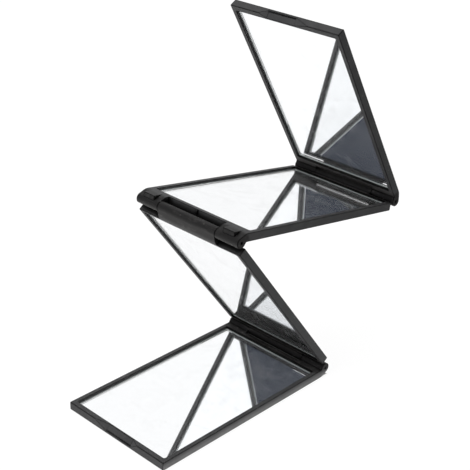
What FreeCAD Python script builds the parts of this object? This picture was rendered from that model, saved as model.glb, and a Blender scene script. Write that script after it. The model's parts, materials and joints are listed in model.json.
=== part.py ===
import FreeCAD, Part
import math
import os

# A mirror of four framed panels in a zigzag, joined end to end by three barrel hinges.
# Lengths are in millimetres and angles in degrees. +Z is up, the hinges run along Y, and the origin
# is at the middle of the face that the base panel rests on.
# Each panel is drawn in a frame of its own: X runs along the panel from the axis of its first hinge,
# Z runs from its back at 0 to its mirror side.

# Panels
panel_width = 100.0  # along the hinges
hinge_pitch = 175.0  # from axis to axis of a panel with two hinges
free_end_setback = 3.6  # how far a free end stops short of the pitch
floor_thickness = 2.0
tape_thickness = 1.0
glass_thickness = 2.0
rim_step = 1.4  # rim above the glass
rim_width = 3.7  # along the two sides
free_rim_width = 4.4  # at a free end
edge_radius = 0.4  # along the outer edges
end_edge_radius = 0.6  # across the ends
recess_corner_radius = 1.2
recess_lip_radius = 0.3
glass_clearance = 0.7  # beside the glass
glass_arris = 0.3

# Foam tape, two strips under each glass
tape_width = 13.0
tape_spacing = 49.0  # middle to middle
tape_end_inset = 9.0  # from the end of the glass

# Hinges
knuckle_radius = 4.0
barrel_length = 56.6
knuckle_gap = 0.25  # between a barrel's end and the knuckle beside it
axis_lift = 0.15  # of a hinge axis above the face that folds shut on it
end_gap = 2.1  # between a knuckle and the square panel end that it turns past
slot_width = 3.0  # between a barrel and the panel edge behind it
strip_width = 3.6  # rim between that slot and the glass
barrel_strip_width = 2.1  # rim between a square end and the glass
bridge_setback = 1.5  # from the axis to the strip of floor that passes under a barrel
bridge_width = 2.8  # of that strip
bridge_clearance = 0.35  # between that strip and the barrel
arm_run = 4.0  # from the axis to where an arm leaves the panel's outer face
arm_blend_radius = 9.0
root_angle = 30.0  # where an arm leaves its knuckle on the folding side
root_radius = 0.9
barrel_edge_radius = 0.3
ledge_length = 10.4  # flat rib across each end knuckle
ledge_reach = 2.5  # past the axis
ledge_radius = 0.5
gate_width = 1.5  # moulding stub in the slot of the upper frame
gate_height = 3.0
gate_reach = 1.1

# Pins, one from each side of a hinge
pin_diameter = 2.0
pin_running_clearance = 0.05  # radial, in a knuckle
pin_recess = 2.0  # of the outer end in its hole
pin_grip = 12.0  # length held in the barrel
pin_chamfer = 0.2
bore_spare = 1.0  # blind bore past the pin

# Finger notch in a free end
notch_length = 47.0
notch_long_ramp = 14.0
notch_short_ramp = 7.5
notch_depth = 4.7
notch_reach = 3.2  # from the free end
nail_groove_width = 0.25
nail_groove_depth = 0.15  # below the scoop, at the lip
nail_groove_wall = 0.4  # lip between the groove and the free end

# How far each hinge stands open
first_opening = 52.4
second_opening = 42.7
third_opening = 49.8

cut_overrun = 1.0  # how far a cut runs past the face that it opens
same_place = 1e-6

half_turn = 180.0
panel_thickness = floor_thickness + tape_thickness + glass_thickness + rim_step
free_length = hinge_pitch - free_end_setback
square_end = knuckle_radius + end_gap
slot_edge = knuckle_radius + slot_width
slot_recess = slot_edge + strip_width
barrel_recess = square_end + barrel_strip_width
knuckle_length = panel_width / 2 - barrel_length / 2 - knuckle_gap
pin_radius = pin_diameter / 2
mirror_axis_height = panel_thickness + axis_lift
back_axis_height = -axis_lift

# What a panel end carries: nothing, or a hinge on one of its two faces
free = "free"
on_mirror_side = "on mirror side"
on_back = "on back"


def block(x0, x1, y0, y1, z0, z1):
    return Part.makeBox(x1 - x0, y1 - y0, z1 - z0, FreeCAD.Vector(x0, y0, z0))


def rounded_face(corners):
    """A flat face in the XZ plane from corners (x, z, radius)."""
    points = [FreeCAD.Vector(x, 0, z) for x, z, radius in corners]
    starts, ends, arcs = [], [], []
    for i, corner in enumerate(points):
        radius = corners[i][2]
        back = (points[i - 1] - corner).normalize()
        ahead = (points[(i + 1) % len(points)] - corner).normalize()
        half_angle = back.getAngle(ahead) / 2
        start = corner + back * (radius / math.tan(half_angle))
        end = corner + ahead * (radius / math.tan(half_angle))
        bisector = (back + ahead).normalize()
        middle = corner + bisector * (radius / math.sin(half_angle) - radius)
        starts.append(start)
        ends.append(end)
        arcs.append(Part.Arc(start, middle, end).toShape() if radius else None)
    edges = []
    for i in range(len(points)):
        if arcs[i]:
            edges.append(arcs[i])
        following = starts[(i + 1) % len(points)]
        if (following - ends[i]).Length > same_place:
            edges.append(Part.makeLine(ends[i], following))
    return Part.Face(Part.Wire(edges))


def across(face, y0, y1):
    moved = face.translated(FreeCAD.Vector(0, y0, 0))
    return moved.extrude(FreeCAD.Vector(0, y1 - y0, 0))


def edges_at(shape, y):
    """The edges of a shape that lie in the plane at y."""
    found = []
    for edge in shape.Edges:
        box = edge.BoundBox
        if max(abs(box.YMin - y), abs(box.YMax - y)) < same_place:
            found.append(edge)
    return found


def arm_corners():
    """Outline of a knuckle and its arm, as (distance into the panel, height, radius) from the hinge
    axis, from the panel's outer face to the face that folds shut."""
    outer = axis_lift + panel_thickness
    tangent = math.atan2(outer, arm_run) + math.acos(knuckle_radius / math.hypot(arm_run, outer))
    top_left = knuckle_radius * (1 + math.cos(tangent)) / math.sin(tangent)
    root = math.radians(root_angle)
    bottom_right = knuckle_radius * (1 - math.sin(root)) / math.cos(root)
    root_start = (knuckle_radius + axis_lift * math.sin(root)) / math.cos(root)
    return [
        (arm_run, outer, arm_blend_radius),
        (-knuckle_radius, top_left, knuckle_radius),
        (-knuckle_radius, -knuckle_radius, knuckle_radius),
        (bottom_right, -knuckle_radius, knuckle_radius),
        (root_start, axis_lift, root_radius),
    ]


def hinge_place(distance, height, end, kind):
    """Panel X and Z of a point given from a hinge axis."""
    x = distance if end == "first" else hinge_pitch - distance
    z = mirror_axis_height - height if kind == on_mirror_side else back_axis_height + height
    return x, z


def end_corners(end, kind, square):
    """Outline corners of one panel end, from its back to its mirror side."""
    if kind == free:
        return [(free_length, 0, end_edge_radius), (free_length, panel_thickness, end_edge_radius)]
    if square:
        x = square_end if end == "first" else hinge_pitch - square_end
        return [(x, 0, end_edge_radius), (x, panel_thickness, end_edge_radius)]
    corners = []
    for distance, height, radius in arm_corners():
        x, z = hinge_place(distance, height, end, kind)
        corners.append((x, z, radius))
    return corners if kind == on_mirror_side else corners[::-1]


def rounded_slab(corners, half_width, radius):
    """A slab between two sides, with the edges along both sides rounded."""
    body = across(rounded_face(corners), -half_width, half_width)
    return body.makeFillet(radius, edges_at(body, -half_width) + edges_at(body, half_width))


def panel_slab(first, second, first_square, second_square):
    corners = end_corners("first", first, first_square)
    corners += end_corners("second", second, second_square)[::-1]
    return rounded_slab(corners, panel_width / 2, edge_radius)


def barrel(end, kind):
    """Centre barrel with its arm, running into the slab, and the blind bores for its pins."""
    corners = []
    for distance, height, radius in (
        (barrel_recess, axis_lift + panel_thickness, end_edge_radius),
        *arm_corners(),
        (barrel_recess, axis_lift, end_edge_radius),
    ):
        x, z = hinge_place(distance, height, end, kind)
        corners.append((x, z, radius))
    bore_start = barrel_length / 2 - pin_grip - bore_spare
    bores = pin_bores(end, kind, pin_radius, bore_start, barrel_length / 2 + cut_overrun)
    return rounded_slab(corners, barrel_length / 2, barrel_edge_radius), bores


def rod(end, kind, radius, y0, y1, side):
    """A cylinder on a hinge axis, between two distances from the panel's middle."""
    x, z = hinge_place(0, 0, end, kind)
    start = FreeCAD.Vector(x, side * y0, z)
    return Part.makeCylinder(radius, y1 - y0, start, FreeCAD.Vector(0, side, 0))


def pin_bores(end, kind, radius, y0, y1):
    return [rod(end, kind, radius, y0, y1, side) for side in (-1, 1)]


def barrel_gap(end, kind):
    """Cuts that clear a barrel between two end knuckles. Where the barrel stands on the mirror side,
    a strip of floor is left under it."""
    half = barrel_length / 2 + knuckle_gap
    past = -knuckle_radius - cut_overrun
    through = axis_lift + panel_thickness + cut_overrun
    spans = [(past, slot_edge, through)]
    if kind == on_mirror_side:
        bridge_end = bridge_setback + bridge_width
        over_bridge = knuckle_radius + bridge_clearance
        spans = [(past, bridge_setback, through), (past, slot_edge, over_bridge), (bridge_end, slot_edge, through)]
    cuts = []
    for start, stop, height in spans:
        x0, z0 = hinge_place(start, past, end, kind)
        x1, z1 = hinge_place(stop, height, end, kind)
        cuts.append(block(min(x0, x1), max(x0, x1), -half, half, min(z0, z1), max(z0, z1)))
    return cuts


def clevis(end, kind):
    """Cuts between two end knuckles, and the flat rib on the outer side of each."""
    half = barrel_length / 2 + knuckle_gap
    rib = []
    outer = axis_lift + panel_thickness
    for distance, height, radius in (
        (-ledge_reach, 0, 0),
        (-ledge_reach, outer, ledge_radius),
        (slot_recess, outer, 0),
        (slot_recess, axis_lift, 0),
        (0, axis_lift, 0),
        (0, 0, 0),
    ):
        x, z = hinge_place(distance, height, end, kind)
        rib.append((x, z, radius))
    middle = half + knuckle_length / 2
    ribs = []
    for side in (-1, 1):
        y = side * middle
        ribs.append(across(rounded_face(rib), y - ledge_length / 2, y + ledge_length / 2))
    hole_radius = pin_radius + pin_running_clearance
    bores = pin_bores(end, kind, hole_radius, half - cut_overrun, panel_width / 2 + cut_overrun)
    return barrel_gap(end, kind), ribs, bores


def rounded_plate(x0, x1, half_width, z0, z1, corner_radius):
    plate = block(x0, x1, -half_width, half_width, z0, z1)
    uprights = [e for e in plate.Edges if e.BoundBox.ZLength > (z1 - z0) / 2]
    return plate.makeFillet(corner_radius, uprights)


def recess_span(second, first_square, second_square):
    """Where the tray's opening for the glass starts and ends along the panel."""
    start = barrel_recess if first_square else slot_recess
    if second == free:
        return start, free_length - free_rim_width
    return start, hinge_pitch - (barrel_recess if second_square else slot_recess)


def cut_recess(body, span):
    """Open the tray for its glass, and round the lip of the opening."""
    half = panel_width / 2 - rim_width
    start, end = span
    top = panel_thickness + cut_overrun
    hole = rounded_plate(start, end, half, floor_thickness, top, recess_corner_radius)
    body = body.cut(hole)
    lip = []
    for edge in body.Edges:
        box = edge.BoundBox
        level = max(abs(box.ZMin - panel_thickness), abs(box.ZMax - panel_thickness)) < same_place
        inside = start - same_place < box.XMin and box.XMax < end + same_place
        if level and inside and max(-box.YMin, box.YMax) < half + same_place:
            lip.append(edge)
    return body.makeFillet(recess_lip_radius, lip)


def finger_notch():
    """Sloping scoop in the mirror side of a free end, with a groove for a fingernail at its foot."""
    far_end = notch_length / 2 - notch_short_ramp
    near_end = notch_long_ramp - notch_length / 2
    start = free_length - notch_reach
    top = panel_thickness + cut_overrun
    sections = []
    for x in (start, free_length + cut_overrun):
        bottom = panel_thickness - notch_depth * (x - start) / notch_reach
        rise_share = (top - bottom) / notch_depth
        points = [
            FreeCAD.Vector(x, near_end, bottom),
            FreeCAD.Vector(x, near_end - notch_long_ramp * rise_share, top),
            FreeCAD.Vector(x, far_end + notch_short_ramp * rise_share, top),
            FreeCAD.Vector(x, far_end, bottom),
        ]
        sections.append(Part.makePolygon(points + points[:1]))
    scoop = Part.makeLoft(sections, True, True)
    groove_end = free_length - nail_groove_wall
    scoop_at_lip = notch_depth * (groove_end - start) / notch_reach
    groove_floor = panel_thickness - scoop_at_lip - nail_groove_depth
    groove = block(groove_end - nail_groove_width, groove_end, near_end, far_end, groove_floor, top)
    return scoop, groove


def frame(first, second, first_square, second_square, span):
    body = panel_slab(first, second, first_square, second_square)
    cuts = []
    for end, kind, square in (("first", first, first_square), ("second", second, second_square)):
        if kind == free:
            continue
        if square:
            added, bores = barrel(end, kind)
            body = body.fuse(added)
        else:
            gaps, ribs, bores = clevis(end, kind)
            body = body.cut(gaps).fuse(ribs)
        cuts.extend(bores)
    body = cut_recess(body.removeSplitter(), span)
    if second == free:
        cuts.extend(finger_notch())
    return body.cut(cuts)


def gate_stub():
    """Stub left by the moulding gate, on the edge of the upper frame's slot."""
    x0, x1 = slot_edge - gate_reach, slot_edge + gate_reach
    z1 = panel_thickness - edge_radius
    return block(x0, x1, -gate_width / 2, gate_width / 2, z1 - gate_height, z1)


def mirror(span):
    z0 = floor_thickness + tape_thickness
    half = panel_width / 2 - rim_width - glass_clearance
    pane = rounded_plate(
        span[0] + glass_clearance,
        span[1] - glass_clearance,
        half,
        z0,
        z0 + glass_thickness,
        recess_corner_radius - glass_clearance,
    )
    top = [e for e in pane.Edges if e.BoundBox.ZMin > z0 + glass_thickness - same_place]
    return pane.makeChamfer(glass_arris, top)


def tape_strip(span, side):
    inset = glass_clearance + tape_end_inset
    middle = side * tape_spacing / 2
    return block(
        span[0] + inset,
        span[1] - inset,
        middle - tape_width / 2,
        middle + tape_width / 2,
        floor_thickness,
        floor_thickness + tape_thickness,
    )


def hinge_pin(end, kind, side):
    inner = barrel_length / 2 - pin_grip
    pin = rod(end, kind, pin_radius, inner, panel_width / 2 - pin_recess, side)
    return pin.makeChamfer(pin_chamfer, [e for e in pin.Edges if e.BoundBox.YLength < same_place])


def tilt(angle):
    return FreeCAD.Rotation(FreeCAD.Vector(0, 1, 0), -angle)


def placed(rotation, local_axis, world_axis):
    """Placement that turns a panel and brings its first hinge axis to a point."""
    return FreeCAD.Placement(world_axis - rotation.multVec(local_axis), rotation)


# Where the hinges stand, from the base up
mirror_axis = FreeCAD.Vector(0, 0, mirror_axis_height)
back_axis = FreeCAD.Vector(0, 0, back_axis_height)
axis_step = mirror_axis_height - back_axis_height
first_axis = FreeCAD.Vector((free_length + slot_edge) / 2, 0, mirror_axis_height)
lower_angle = half_turn - first_opening
upper_angle = lower_angle - half_turn + second_opening
top_angle = upper_angle + half_turn - third_opening
second_axis = first_axis + tilt(lower_angle).multVec(FreeCAD.Vector(hinge_pitch, 0, -axis_step))
third_axis = second_axis + tilt(upper_angle).multVec(FreeCAD.Vector(hinge_pitch, 0, axis_step))
turned = FreeCAD.Rotation(FreeCAD.Vector(0, 0, 1), half_turn)

# Name, first hinge, second hinge, whether each end is square with a barrel, placement, side of near
panels = [
    ("base", on_mirror_side, free, False, False, placed(turned, mirror_axis, first_axis), 1),
    ("lower", on_mirror_side, on_back, True, True, placed(tilt(lower_angle), mirror_axis, first_axis), -1),
    ("upper", on_back, on_mirror_side, False, True, placed(tilt(upper_angle), back_axis, second_axis), -1),
    ("top", on_mirror_side, free, False, False, placed(tilt(top_angle), mirror_axis, third_axis), -1),
]
# Name of a hinge's pins, and the panel, end and side of the barrel that holds them
pin_holders = [
    ("first", "lower", "first", on_mirror_side),
    ("second", "lower", "second", on_back),
    ("third", "upper", "second", on_mirror_side),
]

os.makedirs("parts", exist_ok=True)


def write(name, shape, placement):
    shape.transformShape(placement.toMatrix(), True)
    shape.exportStep("parts/" + name + ".step")
    print(name, len(shape.Solids), shape.isValid(), round(shape.Volume, 1))


for name, first, second, first_square, second_square, placement, near in panels:
    span = recess_span(second, first_square, second_square)
    body = frame(first, second, first_square, second_square, span)
    if name == "upper":
        body = body.fuse(gate_stub())
    write(name + "_frame", body, placement)
    write(name + "_mirror", mirror(span), placement)
    write(name + "_tape_near", tape_strip(span, near), placement)
    write(name + "_tape_far", tape_strip(span, -near), placement)
    for hinge, holder, end, kind in pin_holders:
        if holder == name:
            write(hinge + "_pin_near", hinge_pin(end, kind, -1), placement)
            write(hinge + "_pin_far", hinge_pin(end, kind, 1), placement)

for label, axis in (("first", first_axis), ("second", second_axis), ("third", third_axis)):
    print(label, "axis", [round(v, 4) for v in axis])
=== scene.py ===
import bpy
import json
import math
from mathutils import Matrix, Vector


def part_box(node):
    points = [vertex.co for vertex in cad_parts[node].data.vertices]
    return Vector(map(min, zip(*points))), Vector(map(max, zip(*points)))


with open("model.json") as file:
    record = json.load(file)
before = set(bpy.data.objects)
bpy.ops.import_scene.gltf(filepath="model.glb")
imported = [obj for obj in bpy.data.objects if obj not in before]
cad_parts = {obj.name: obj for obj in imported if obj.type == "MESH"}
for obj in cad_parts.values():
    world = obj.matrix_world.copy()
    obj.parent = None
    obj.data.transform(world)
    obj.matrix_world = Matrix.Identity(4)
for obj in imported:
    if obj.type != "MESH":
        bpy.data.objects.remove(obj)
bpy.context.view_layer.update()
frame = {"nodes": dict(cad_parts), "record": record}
nodes = frame["nodes"]
print("folding mirror loaded:", len(nodes), "pieces")

scene = bpy.context.scene
scene.view_settings.view_transform = "Standard"


# small helpers for node trees

def place(tree, kind, **settings):
    node = tree.nodes.new(kind)
    for key, value in settings.items():
        setattr(node, key, value)
    return node


def feed(tree, source, socket):
    # a number, a vector, a colour or another node's output
    if isinstance(source, (int, float, Vector)):
        socket.default_value = source
    elif isinstance(source, tuple):
        socket.default_value = (*source, 1.0) if socket.type == "RGBA" else source
    else:
        tree.links.new(source, socket)


def fill(tree, node, values):
    for key, value in values.items():
        feed(tree, value, node.inputs[key])
    return node


def calc(tree, operation, *values, clamp=False):
    node = place(tree, "ShaderNodeMath", operation=operation, use_clamp=clamp)
    for value, socket in zip(values, node.inputs):
        feed(tree, value, socket)
    return node.outputs[0]


def remap(tree, value, band, to=(0.0, 1.0)):
    node = place(tree, "ShaderNodeMapRange", interpolation_type="SMOOTHSTEP")
    names = ("Value", "From Min", "From Max", "To Min", "To Max")
    return fill(tree, node, dict(zip(names, (value, *band, *to)))).outputs[0]


def noise(tree, vector, scale, detail=2.0, roughness=0.5, distortion=0.0):
    settings = {"Vector": vector, "Scale": scale, "Detail": detail, "Roughness": roughness, "Distortion": distortion}
    return fill(tree, place(tree, "ShaderNodeTexNoise"), settings).outputs["Fac"]


def blendColour(tree, factor, first, second):
    node = place(tree, "ShaderNodeMix", data_type="RGBA")
    colours = {socket.name: socket for socket in node.inputs if socket.type == "RGBA"}
    feed(tree, factor, node.inputs["Factor"])
    feed(tree, first, colours["A"])
    feed(tree, second, colours["B"])
    return next(socket for socket in node.outputs if socket.type == "RGBA")


def dotProduct(tree, first, second):
    node = place(tree, "ShaderNodeVectorMath", operation="DOT_PRODUCT")
    feed(tree, first, node.inputs[0])
    feed(tree, second, node.inputs[1])
    return node.outputs["Value"]


def splitAxes(tree, vector):
    return fill(tree, place(tree, "ShaderNodeSeparateXYZ"), {"Vector": vector}).outputs


def bumpFrom(tree, height, strength, distance):
    settings = {"Height": height, "Strength": strength, "Distance": distance}
    return fill(tree, place(tree, "ShaderNodeBump"), settings).outputs["Normal"]


def newGroup(name, inputs, outputs):
    # an input with no number of its own is a vector
    tree = bpy.data.node_groups.new(name, "ShaderNodeTree")
    for label, value in inputs.items():
        kind = "NodeSocketVector" if value is None else "NodeSocketFloat"
        socket = tree.interface.new_socket(label, in_out="INPUT", socket_type=kind)
        if value is not None:
            socket.default_value = value
    for label in outputs:
        tree.interface.new_socket(label, in_out="OUTPUT", socket_type="NodeSocketFloat")
    return tree, place(tree, "NodeGroupInput").outputs, place(tree, "NodeGroupOutput").inputs


def useGroup(tree, group, values):
    return fill(tree, place(tree, "ShaderNodeGroup", node_tree=group), values).outputs


def emptyTree(owner):
    owner.use_nodes = True
    owner.node_tree.nodes.clear()
    return owner.node_tree


def newMaterial(name):
    material = bpy.data.materials.new(name)
    tree = emptyTree(material)
    shader = place(tree, "ShaderNodeBsdfPrincipled")
    output = place(tree, "ShaderNodeOutputMaterial")
    feed(tree, shader.outputs["BSDF"], output.inputs["Surface"])
    where = place(tree, "ShaderNodeTexCoord").outputs["Object"]
    return material, tree, shader, where


def arrange(tree):
    # columns from right to left, by how far a node is from the output
    columnWidth, rowHeight = 220, 260
    depth = {node.name: 0 for node in tree.nodes}
    for _ in tree.nodes:
        for link in tree.links:
            before, after = link.from_node.name, link.to_node.name
            depth[before] = max(depth[before], depth[after] + 1)
    rows = {}
    for node in tree.nodes:
        column = depth[node.name]
        row = rows.get(column, 0)
        node.location = (-columnWidth * column, -rowHeight * row)
        rows[column] = row + 1


def piecesNamed(part):
    return [node for name, node in nodes.items() if part in name]


def dress(pieces, *finishes):
    for piece in pieces:
        piece.data.materials.clear()
        for finish in finishes:
            piece.data.materials.append(finish)


# effects that several finishes share

def makeMouldGrain():
    # spark-eroded mould texture: a fine pebble with a slow swell under it
    inputs = {"Vector": None, "Pebbles per Metre": 2600.0, "Swell per Metre": 90.0}
    tree, entry, leave = newGroup("mouldGrain", inputs, ["Height", "Swell"])
    pebbleBand, swellBand = (0.28, 0.72), (0.3, 0.7)
    pebble = noise(tree, entry["Vector"], entry["Pebbles per Metre"], detail=3.0, roughness=0.62)
    swell = noise(tree, entry["Vector"], entry["Swell per Metre"])
    feed(tree, remap(tree, pebble, pebbleBand), leave["Height"])
    feed(tree, remap(tree, swell, swellBand), leave["Swell"])
    return tree


def makeEdgeShadeLines():
    # painted shade: a mask of dark lines along the edges, in broken stretches; the trays also make these edges a
    # little smoother
    inputs = {"Vector": None, "Reach": 0.0009, "Breaks per Metre": 260.0}
    tree, entry, leave = newGroup("edgeRub", inputs, ["Mask"])
    bentBand = (0.9993, 0.985)  # cosine between the rounded and the plain normal
    breakBand, breakShare = (0.3, 0.5), (0.7, 1.0)
    soft = fill(tree, place(tree, "ShaderNodeBevel", samples=4), {"Radius": entry["Reach"]})
    plain = place(tree, "ShaderNodeNewGeometry")
    bent = dotProduct(tree, soft.outputs["Normal"], plain.outputs["Normal"])
    broken = noise(tree, entry["Vector"], entry["Breaks per Metre"], detail=3.0, roughness=0.6)
    broken = remap(tree, broken, breakBand, breakShare)
    feed(tree, calc(tree, "MULTIPLY", remap(tree, bent, bentBand), broken), leave["Mask"])
    return tree


def makeCornerShade():
    # painted shade in a piece's own corners, and in the gaps between pieces
    tree, entry, leave = newGroup("cornerGrime", {"Reach": 0.006}, ["Corners", "Gaps"])
    openBand = (0.92, 0.5)
    for name, alone in (("Corners", True), ("Gaps", False)):
        openness = place(tree, "ShaderNodeAmbientOcclusion", samples=8, only_local=alone)
        fill(tree, openness, {"Distance": entry["Reach"]})
        feed(tree, remap(tree, openness.outputs["AO"], openBand), leave[name])
    return tree


def makeStrayDust():
    # lint and dust in scattered specks
    inputs = {"Vector": None, "Specks per Metre": 420.0, "Cover": 0.5}
    tree, entry, leave = newGroup("strayDust", inputs, ["Mask"])
    speckMost = 0.2  # share of a cell
    cells = place(tree, "ShaderNodeTexVoronoi")
    fill(tree, cells, {"Vector": entry["Vector"], "Scale": entry["Specks per Metre"]})
    parts = fill(tree, place(tree, "ShaderNodeSeparateColor"), {"Color": cells.outputs["Color"]}).outputs
    reach = calc(tree, "MULTIPLY", parts["Red"], speckMost)
    inside = calc(tree, "LESS_THAN", cells.outputs["Distance"], reach)
    kept = calc(tree, "LESS_THAN", parts["Green"], entry["Cover"])
    feed(tree, calc(tree, "MULTIPLY", inside, kept), leave["Mask"])
    return tree


def makeWipeMarks():
    # cloudy wipe marks and finger grease
    inputs = {"Vector": None, "Clouds per Metre": 45.0, "Streaks per Metre": 240.0}
    tree, entry, leave = newGroup("wipeMarks", inputs, ["Clouds", "Streaks"])
    cloudBand, streakBand = (0.38, 0.68), (0.48, 0.72)
    wipeTurn, wipeStretch = (0.3, 0.5, 0.8), (1.0, 0.16, 1.0)
    clouds = noise(tree, entry["Vector"], entry["Clouds per Metre"], detail=5.0, roughness=0.62, distortion=0.8)
    wiped = place(tree, "ShaderNodeMapping")
    fill(tree, wiped, {"Vector": entry["Vector"], "Rotation": wipeTurn, "Scale": wipeStretch})
    wiped = wiped.outputs["Vector"]
    streaks = noise(tree, wiped, entry["Streaks per Metre"], detail=4.0, roughness=0.6, distortion=0.4)
    feed(tree, remap(tree, clouds, cloudBand), leave["Clouds"])
    feed(tree, remap(tree, streaks, streakBand), leave["Streaks"])
    return tree


def makeHingeZone(name, axes):
    # how near a spot is to one of the hinge axes, which all run along Y
    tree, entry, leave = newGroup(name, {"Vector": None, "Reach": 0.007}, ["Mask"])
    fadeBand = (1.25, 0.85)  # in reaches
    spot = splitAxes(tree, entry["Vector"])
    nearest = None
    for axis in axes:
        sideways = calc(tree, "SUBTRACT", spot["X"], axis[0])
        upwards = calc(tree, "SUBTRACT", spot["Z"], axis[2])
        square = calc(tree, "MULTIPLY", sideways, sideways)
        square = calc(tree, "MULTIPLY_ADD", upwards, upwards, square)
        away = calc(tree, "SQRT", square)
        nearest = away if nearest is None else calc(tree, "MINIMUM", nearest, away)
    share = calc(tree, "DIVIDE", nearest, entry["Reach"])
    feed(tree, remap(tree, share, fadeBand), leave["Mask"])
    return tree


firstAxis, secondAxis, thirdAxis = [joint["pos_m"] for joint in frame["record"]["behaviour"]["joints"]]
mouldGrain = makeMouldGrain()
edgeRub = makeEdgeShadeLines()
cornerGrime = makeCornerShade()
strayDust = makeStrayDust()
wipeMarks = makeWipeMarks()
hingeZone = makeHingeZone("hingeZone", [firstAxis, secondAxis, thirdAxis])
valleyZone = makeHingeZone("valleyZone", [firstAxis, thirdAxis])
print("shared effects ready:", len(bpy.data.node_groups), "groups")


# the black moulded trays

trayLook = {
    "black": (0.0425, 0.0425, 0.0435),
    "paleBlack": (0.0515, 0.0515, 0.0525),
    "roughness": 0.5,
    "roughnessSwing": 0.1,
    "gloss": 0.16,
    "grainDepth": 0.00004,
    "grainStrength": 0.35,
    # painted shade on the barrels and knuckles around the hinge axes
    "barrelShade": (0.015, 0.0145, 0.0145),
    "valleyReach": 0.0105,
    # random scuff marks, and painted light from below on the undersides, lift that shade to this
    "scuffAndUnderLight": (0.05, 0.048, 0.047),
    "scuffCloudsPerMetre": 150.0,
    "scuffStreaksPerMetre": 420.0,
    # painted light from below on the undersides
    "underLight": 0.7,
    # near-black of the painted shade on edges, corners and gaps
    "shadeBlack": (0.003, 0.003, 0.003),
    # painted shade along the edges: how dark it goes, and how much smoother the edges get
    "edgeLineShare": 0.97,
    "edgeLinePolish": 0.08,
    # painted shade in corners and gaps, stronger near the hinges, and the shine it takes away
    "cornerShare": 0.2,
    "hingeCornerShare": 0.45,
    "gapShare": 0.92,
    "gapReach": 0.011,
    "shadeMatt": 0.4,
    "dust": (0.22, 0.215, 0.2),
    "dustCover": 0.3,
    "dustShare": 0.35,
    # painted floor light on the low front faces
    "footLight": (0.19, 0.19, 0.19),
    "footBand": (0.0066, 0.00165),
    "footPatches": 0.3,
}


def makeTrayPlastic(look):
    material, tree, shader, where = newMaterial("satinBlackPlastic")
    frontBand, underBand = (-0.4, -0.9), (0.1, -0.6)  # of the piece's own normal
    facing = splitAxes(tree, place(tree, "ShaderNodeTexCoord").outputs["Normal"])
    front = remap(tree, facing["Y"], frontBand)
    under = remap(tree, facing["Z"], underBand)
    grain = useGroup(tree, mouldGrain, {"Vector": where})
    tone = blendColour(tree, grain["Swell"], look["black"], look["paleBlack"])

    # painted shade on the barrels and knuckles around every hinge axis, and in a valley as much on the strips beside
    # them; random scuff marks lighten it, and painted light from below lightens the undersides most
    scuffScale = {"Clouds per Metre": look["scuffCloudsPerMetre"], "Streaks per Metre": look["scuffStreaksPerMetre"]}
    marks = useGroup(tree, wipeMarks, {"Vector": where, **scuffScale})
    scuffAndLift = calc(tree, "MULTIPLY", marks["Clouds"], marks["Streaks"])
    # painted light from below lightens the undersides
    scuffAndLift = calc(tree, "MULTIPLY_ADD", under, look["underLight"], scuffAndLift, clamp=True)
    barrel = blendColour(tree, scuffAndLift, look["barrelShade"], look["scuffAndUnderLight"])
    hinge = useGroup(tree, hingeZone, {"Vector": where})
    valley = useGroup(tree, valleyZone, {"Vector": where, "Reach": look["valleyReach"]})
    valleyShare = calc(tree, "MULTIPLY", valley["Mask"], calc(tree, "SUBTRACT", 1.0, front))
    tone = blendColour(tree, calc(tree, "MAXIMUM", hinge["Mask"], valleyShare), tone, barrel)

    # painted shade: the edges, the corners and the gaps are painted near-black, and lose the shine too
    edgeLine = useGroup(tree, edgeRub, {"Vector": where})
    edgeLineShare = calc(tree, "MULTIPLY", edgeLine["Mask"], look["edgeLineShare"])
    tone = blendColour(tree, edgeLineShare, tone, look["shadeBlack"])
    shadeMasks = useGroup(tree, cornerGrime, {})
    around = useGroup(tree, hingeZone, {"Vector": where, "Reach": look["gapReach"]})
    gapShare = calc(tree, "MULTIPLY", shadeMasks["Gaps"], around["Mask"])
    gapShare = calc(tree, "MULTIPLY", gapShare, look["gapShare"])
    cornerShare = calc(tree, "MULTIPLY_ADD", around["Mask"], look["hingeCornerShare"], look["cornerShare"])
    cornerShare = calc(tree, "MULTIPLY", shadeMasks["Corners"], cornerShare)
    shadeShare = calc(tree, "MAXIMUM", gapShare, cornerShare)
    tone = blendColour(tree, shadeShare, tone, look["shadeBlack"])
    matt = calc(tree, "MULTIPLY_ADD", shadeShare, look["shadeMatt"], edgeLineShare, clamp=True)

    # stray dust, and painted floor light on the front faces next to the table, in patches
    dust = useGroup(tree, strayDust, {"Vector": where, "Cover": look["dustCover"]})
    dustShare = calc(tree, "MULTIPLY", dust["Mask"], look["dustShare"])
    tone = blendColour(tree, dustShare, tone, look["dust"])
    low = remap(tree, splitAxes(tree, where)["Z"], look["footBand"])
    patches = calc(tree, "MULTIPLY_ADD", grain["Swell"], look["footPatches"], 1.0 - look["footPatches"])
    foot = calc(tree, "MULTIPLY", calc(tree, "MULTIPLY", low, front), patches)
    tone = blendColour(tree, foot, tone, look["footLight"])

    swing = look["roughnessSwing"]
    rough = calc(tree, "MULTIPLY_ADD", grain["Height"], swing, look["roughness"] - swing / 2)
    fill(tree, shader, {
        "Base Color": tone,
        "Metallic": matt,
        "Specular IOR Level": look["gloss"],
        "Roughness": calc(tree, "MULTIPLY_ADD", edgeLine["Mask"], -look["edgeLinePolish"], rough),
        "Normal": bumpFrom(tree, grain["Height"], look["grainStrength"], look["grainDepth"]),
    })
    return material


trays = piecesNamed("_frame")
dress(trays, makeTrayPlastic(trayLook))
print("trays dressed:", len(trays))


# silvered panes: clear glass over a silver back, with ground edges

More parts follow.
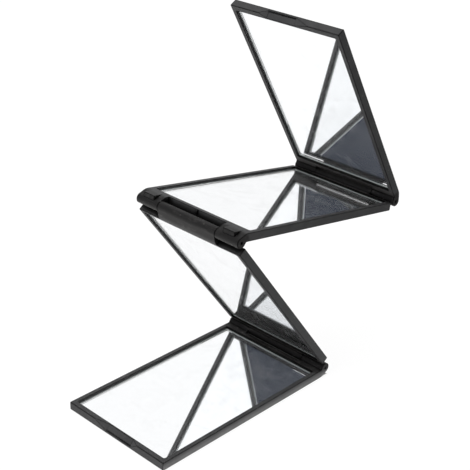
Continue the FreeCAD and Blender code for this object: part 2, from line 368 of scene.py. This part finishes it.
paneLook = {
    "glass": (0.987, 0.994, 1.0),
    "glassIndex": 1.52,
    "clear": 0.983,
    "greaseRoughness": 0.004,
    "film": 0.45,
    "filmSpread": (0.25, 1.35),
    "filmStreaks": 0.4,
    "filmRoughness": 0.45,
    "filmIndex": 2.3,
    "silver": (0.99, 0.995, 1.0),
    "silverRoughness": 0.004,
    "silverCloud": 0.012,
    "edge": (0.22, 0.24, 0.235),
    "edgeRoughness": 0.5,
    "edgeGrit": 0.2,
    "edgePebblesPerMetre": 5200.0,
}


def makePaneGlass(look):
    material, tree, shader, where = newMaterial("clearGlass")
    marks = useGroup(tree, wipeMarks, {"Vector": where})
    film = calc(tree, "MULTIPLY_ADD", marks["Streaks"], look["filmStreaks"], marks["Clouds"])
    film = remap(tree, film, look["filmSpread"], (0.0, look["film"]))
    inside = place(tree, "ShaderNodeNewGeometry").outputs["Backfacing"]
    path = place(tree, "ShaderNodeLightPath").outputs
    through = calc(tree, "MAXIMUM", path["Is Shadow Ray"], path["Is Diffuse Ray"])
    fill(tree, shader, {
        "Base Color": look["glass"],
        "Transmission Weight": look["clear"],
        "IOR": look["glassIndex"],
        "Roughness": calc(tree, "MULTIPLY", marks["Streaks"], look["greaseRoughness"]),
        "Coat Weight": calc(tree, "MULTIPLY", film, calc(tree, "SUBTRACT", 1.0, inside)),
        "Coat Roughness": look["filmRoughness"],
        "Coat IOR": look["filmIndex"],
        "Alpha": calc(tree, "SUBTRACT", 1.0, through),  # light reaches the ground edges
    })
    return material


def makeSilver(look):
    material, tree, shader, where = newMaterial("silveredBack")
    marks = useGroup(tree, wipeMarks, {"Vector": where})
    path = place(tree, "ShaderNodeLightPath").outputs
    fill(tree, shader, {
        "Base Color": look["silver"],
        "Metallic": calc(tree, "SUBTRACT", 1.0, path["Is Diffuse Ray"]),  # throws light back on the plastic
        "Roughness": calc(tree, "MULTIPLY_ADD", marks["Clouds"], look["silverCloud"], look["silverRoughness"]),
    })
    return material


def makePaneEdge(look):
    material, tree, shader, where = newMaterial("groundGlassEdge")
    grit = useGroup(tree, mouldGrain, {"Vector": where, "Pebbles per Metre": look["edgePebblesPerMetre"]})
    fill(tree, shader, {
        "Base Color": look["edge"],
        "IOR": look["glassIndex"],
        "Roughness": calc(tree, "MULTIPLY_ADD", grit["Height"], look["edgeGrit"], look["edgeRoughness"]),
    })
    return material


def sortFaces(mesh):
    # 0 is the glass front with its arris, 1 the silvered back, 2 a ground edge
    backLeast, edgeMost = 0.98, 0.1
    areas = {}
    for face in mesh.polygons:
        key = tuple(round(v, 2) for v in face.normal)
        areas[key] = areas.get(key, 0.0) + face.area
    back = Vector(max(areas, key=areas.get))  # the arris takes a little off the front, so the back is larger
    for face in mesh.polygons:
        facing = face.normal.dot(back)
        face.material_index = 1 if facing > backLeast else 2 if abs(facing) < edgeMost else 0


panes = piecesNamed("_mirror")
dress(panes, makePaneGlass(paneLook), makeSilver(paneLook), makePaneEdge(paneLook))
for pane in panes:
    sortFaces(pane.data)
print("panes silvered:", len(panes))


# foam tape behind the panes

tapeLook = {
    "foam": (0.62, 0.6, 0.55),
    "pores": (0.4, 0.385, 0.35),
    "poresPerMetre": 1900.0,
    "poreBand": (0.1, 0.55),
    "poreDepth": 0.0002,
    "poreStrength": 0.5,
    "roughness": 0.9,
    "squeeze": 0.00003,
}


def makeFoam(look):
    material, tree, shader, where = newMaterial("foamTape")
    cells = place(tree, "ShaderNodeTexVoronoi")
    fill(tree, cells, {"Vector": where, "Scale": look["poresPerMetre"]})
    pores = remap(tree, cells.outputs["Distance"], look["poreBand"])
    fill(tree, shader, {
        "Base Color": blendColour(tree, pores, look["pores"], look["foam"]),
        "Roughness": look["roughness"],
        "Normal": bumpFrom(tree, pores, look["poreStrength"], look["poreDepth"]),
    })
    return material


tapes = piecesNamed("_tape_")
dress(tapes, makeFoam(tapeLook))
for tape in tapes:
    squeeze = tape.modifiers.new("squeeze", "DISPLACE")  # keeps the foam a hair off the silver
    squeeze.strength, squeeze.mid_level = -tapeLook["squeeze"], 0.0
print("tape strips dressed:", len(tapes))


# drawn wire pins

pinLook = {
    "steel": (0.09, 0.088, 0.085),
    "dull": (0.03, 0.028, 0.027),
    "dullPatchesPerMetre": 700.0,
    "dullBand": (0.4, 0.7),
    "roughness": 0.26,
    "drawRoughness": 0.25,
    "drawLinesPerMetre": 3000.0,
    "drawStretch": (1.0, 0.02, 1.0),
}


def makePinSteel(look):
    material, tree, shader, where = newMaterial("drawnWire")
    along = fill(tree, place(tree, "ShaderNodeMapping"), {"Vector": where, "Scale": look["drawStretch"]})
    lines = noise(tree, along.outputs["Vector"], look["drawLinesPerMetre"], roughness=0.6)
    patches = noise(tree, where, look["dullPatchesPerMetre"], detail=3.0, roughness=0.6)
    patches = remap(tree, patches, look["dullBand"])
    fill(tree, shader, {
        "Base Color": blendColour(tree, patches, look["steel"], look["dull"]),
        "Metallic": 1.0,
        "Roughness": calc(tree, "MULTIPLY_ADD", lines, look["drawRoughness"], look["roughness"]),
    })
    return material


pins = piecesNamed("_pin_")
dress(pins, makePinSteel(pinLook))
print("pins dressed:", len(pins))


# studio: white sweep, a dim side that only the mirrors show, one soft key

studioLook = {
    "white": (1.0, 1.0, 1.0),
    "dimSide": (0.001, 0.007, 0.025),
    "dimTowards": (-0.6, 0.62, 0.4),
    "dimBand": (0.7, 0.84),
    "ambient": 0.75,
    "floorReach": 5.0,
    "floorGlow": 0.9,
    "floorShade": 0.15,
    "floorBounce": 0.95,
    "fadeTowards": (0.69, -0.72, 0.0),
    "fadeBand": (0.02, 0.5),
    "fadeTo": 0.1,
    "keyPlace": (-1.0, 0.35, 1.25),
    "keyAim": (0.04, 0.0, 0.12),
    "keySize": 1.4,
    "keyPower": 14.0,
}


def seenDirectly(tree):
    # rays that show the stage itself: straight, mirrored or through glass
    path = place(tree, "ShaderNodeLightPath").outputs
    seen = calc(tree, "ADD", path["Is Camera Ray"], path["Is Glossy Ray"], clamp=True)
    seen = calc(tree, "ADD", seen, path["Is Transmission Ray"], clamp=True)
    return seen, path["Is Camera Ray"]


def makeStudioWorld(look):
    world = bpy.data.worlds.new("studioWorld")
    scene.world = world
    tree = emptyTree(world)
    output = place(tree, "ShaderNodeOutputWorld")
    sky = place(tree, "ShaderNodeBackground")
    feed(tree, sky.outputs["Background"], output.inputs["Surface"])
    direction = place(tree, "ShaderNodeTexCoord").outputs["Generated"]
    towards = dotProduct(tree, direction, Vector(look["dimTowards"]).normalized())
    seen, straight = seenDirectly(tree)
    mirrored = calc(tree, "SUBTRACT", seen, straight)
    dim = calc(tree, "MULTIPLY", remap(tree, towards, look["dimBand"]), mirrored)
    fill(tree, sky, {
        "Color": blendColour(tree, dim, look["white"], look["dimSide"]),
        "Strength": calc(tree, "MULTIPLY_ADD", seen, 1.0 - look["ambient"], look["ambient"]),
    })


def underBase(tree, spot):
    # painted shadow: no floor glow where the base rests, full glow everywhere else
    low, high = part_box("base_frame")
    rimWidth = 0.002
    axes = splitAxes(tree, spot)
    outside = []
    for i in range(2):
        middle, half = (low[i] + high[i]) / 2, (high[i] - low[i]) / 2
        offset = calc(tree, "ABSOLUTE", calc(tree, "SUBTRACT", axes[i], middle))
        outside.append(calc(tree, "SUBTRACT", offset, half))
    return remap(tree, calc(tree, "MAXIMUM", *outside), (-rimWidth, 0.0))


def awayFade(tree, spot, straight, look):
    # the paper runs out towards the front right, which only the object sees
    along = dotProduct(tree, spot, look["fadeTowards"])
    fade = remap(tree, along, look["fadeBand"], (1.0, look["fadeTo"]))
    return calc(tree, "MAXIMUM", fade, straight)


def makeFloor(look):
    sides, drop, reach = 64, 0.0002, look["floorReach"]
    turns = [math.tau * i / sides for i in range(sides)]
    mesh = bpy.data.meshes.new("floor")
    mesh.from_pydata([(reach * math.cos(a), reach * math.sin(a), -drop) for a in turns], [], [list(range(sides))])
    floor = bpy.data.objects.new("floor", mesh)
    scene.collection.objects.link(floor)
    material = bpy.data.materials.new("paperSweep")
    tree = emptyTree(material)
    spot = place(tree, "ShaderNodeNewGeometry").outputs["Position"]
    seen, straight = seenDirectly(tree)
    fade = awayFade(tree, spot, straight, look)
    level = calc(tree, "MULTIPLY", underBase(tree, spot), look["floorGlow"])
    shade = fill(tree, place(tree, "ShaderNodeBsdfDiffuse"), {"Color": (look["floorShade"],) * 3})
    glow = place(tree, "ShaderNodeEmission")
    fill(tree, glow, {"Color": look["white"], "Strength": calc(tree, "MULTIPLY", level, fade)})
    bounce = place(tree, "ShaderNodeBsdfDiffuse")
    fill(tree, bounce, {"Color": calc(tree, "MULTIPLY", fade, look["floorBounce"])})
    both = place(tree, "ShaderNodeAddShader")
    pick = place(tree, "ShaderNodeMixShader")
    output = place(tree, "ShaderNodeOutputMaterial")
    feed(tree, shade.outputs[0], both.inputs[0])
    feed(tree, glow.outputs[0], both.inputs[1])
    feed(tree, seen, pick.inputs[0])
    feed(tree, bounce.outputs[0], pick.inputs[1])
    feed(tree, both.outputs[0], pick.inputs[2])
    feed(tree, pick.outputs[0], output.inputs["Surface"])
    mesh.materials.append(material)


def makeKey(look):
    data = bpy.data.lights.new("softKey", "AREA")
    data.shape = "DISK"
    data.size = look["keySize"]
    data.energy = look["keyPower"]
    key = bpy.data.objects.new("softKey", data)
    scene.collection.objects.link(key)
    key.location = look["keyPlace"]
    aim = Vector(look["keyAim"]) - Vector(look["keyPlace"])
    key.rotation_mode = "QUATERNION"
    key.rotation_quaternion = aim.to_track_quat("-Z", "Y")
    key.visible_camera = False
    key.visible_glossy = False
    key.visible_transmission = False


makeStudioWorld(studioLook)
makeFloor(studioLook)
makeKey(studioLook)
print("studio lit")


# camera at the photograph's angle

cameraLook = {
    "place": (-0.5032, -0.50119, 0.48466),
    "right": (0.6929, -0.72032, 0.03199),
    "back": (-0.65596, -0.61132, 0.44273),
    "lens": 86.472,
    "sensor": 36.0,
    "clip": (0.01, 50.0),
}


def makeCamera(look):
    data = bpy.data.cameras.new("photoCamera")
    data.sensor_width = look["sensor"]
    data.lens = look["lens"]
    data.clip_start, data.clip_end = look["clip"]
    camera = bpy.data.objects.new("photoCamera", data)
    scene.collection.objects.link(camera)
    back = Vector(look["back"]).normalized()
    right = Vector(look["right"])
    right = (right - back * right.dot(back)).normalized()
    up = back.cross(right)
    turn = Matrix((right, up, back)).transposed().to_4x4()
    camera.matrix_world = Matrix.Translation(Vector(look["place"])) @ turn
    scene.camera = camera


makeCamera(cameraLook)
print("camera set")


# node trees laid out for reading

for tree in bpy.data.node_groups:
    arrange(tree)
for owner in (*bpy.data.materials, scene.world):
    if owner.node_tree:
        arrange(owner.node_tree)
print("node trees arranged")
